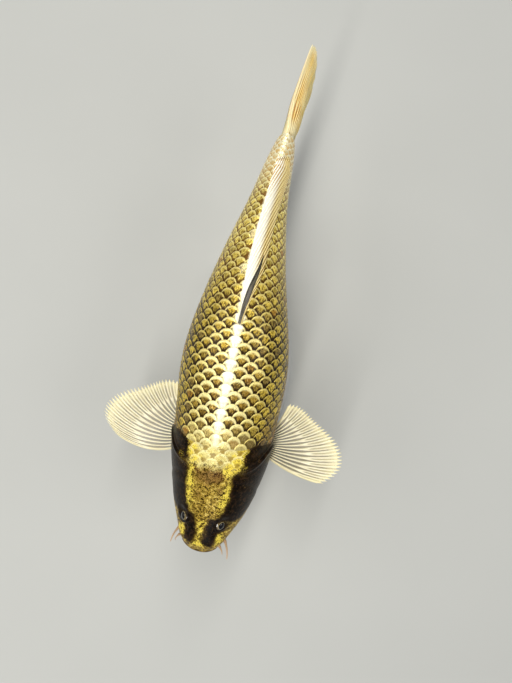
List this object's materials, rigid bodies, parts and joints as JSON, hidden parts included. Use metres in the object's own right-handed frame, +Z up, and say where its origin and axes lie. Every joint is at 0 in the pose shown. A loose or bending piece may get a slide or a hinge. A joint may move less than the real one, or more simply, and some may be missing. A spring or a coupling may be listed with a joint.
{
  "type": "koi carp display model",
  "caption": "Life-size still model of a golden koi carp with spread pectoral fins and folded dorsal fin, held level on a flat oval stand by two short rods.",
  "frame": {"origin": "middle of the underside of the stand's oval base", "axes": "+Z up, the head points to -Y and the tail to +Y, so +X is the fish's own left side"},
  "size_m": [0.1744, 0.3452, 0.1366],
  "materials": {
    "body_scales": "glossy metallic gold scales, each with a darker base",
    "head_skin": "smooth wet-looking yellow gold skin with near-black patches",
    "lip_skin": "satin olive brown flesh",
    "fin_membrane": "cream rays with thin grey-olive membrane between",
    "fin_spine": "satin slate grey",
    "eye": "clear gloss, black pupil in a thin gold ring",
    "stand_base": "satin pale grey paint",
    "stand_rod": "fine brushed steel"
  },
  "bodies": {
    "root": {"head": "head_skin", "gill_cover_left": "head_skin", "gill_cover_right": "head_skin", "upper_lip": "lip_skin", "lower_lip": "lip_skin", "barbel_upper_left": "lip_skin", "barbel_upper_right": "lip_skin", "barbel_lower_left": "lip_skin", "barbel_lower_right": "lip_skin", "eye_left": "eye", "eye_right": "eye", "trunk_front": "body_scales", "trunk_middle": "body_scales", "trunk_rear": "body_scales", "tail_root": "body_scales", "dorsal_fin": "fin_membrane", "dorsal_fin_front": "fin_spine", "anal_fin": "fin_membrane", "pelvic_fin_left": "fin_membrane", "pelvic_fin_right": "fin_membrane", "pectoral_fin_left": "fin_membrane", "pectoral_fin_right": "fin_membrane", "tail_fin_upper_lobe": "fin_membrane", "tail_fin_lower_lobe": "fin_membrane", "stand_base": "stand_base", "stand_rod_front": "stand_rod", "stand_rod_rear": "stand_rod"}
  },
  "joints": []
}
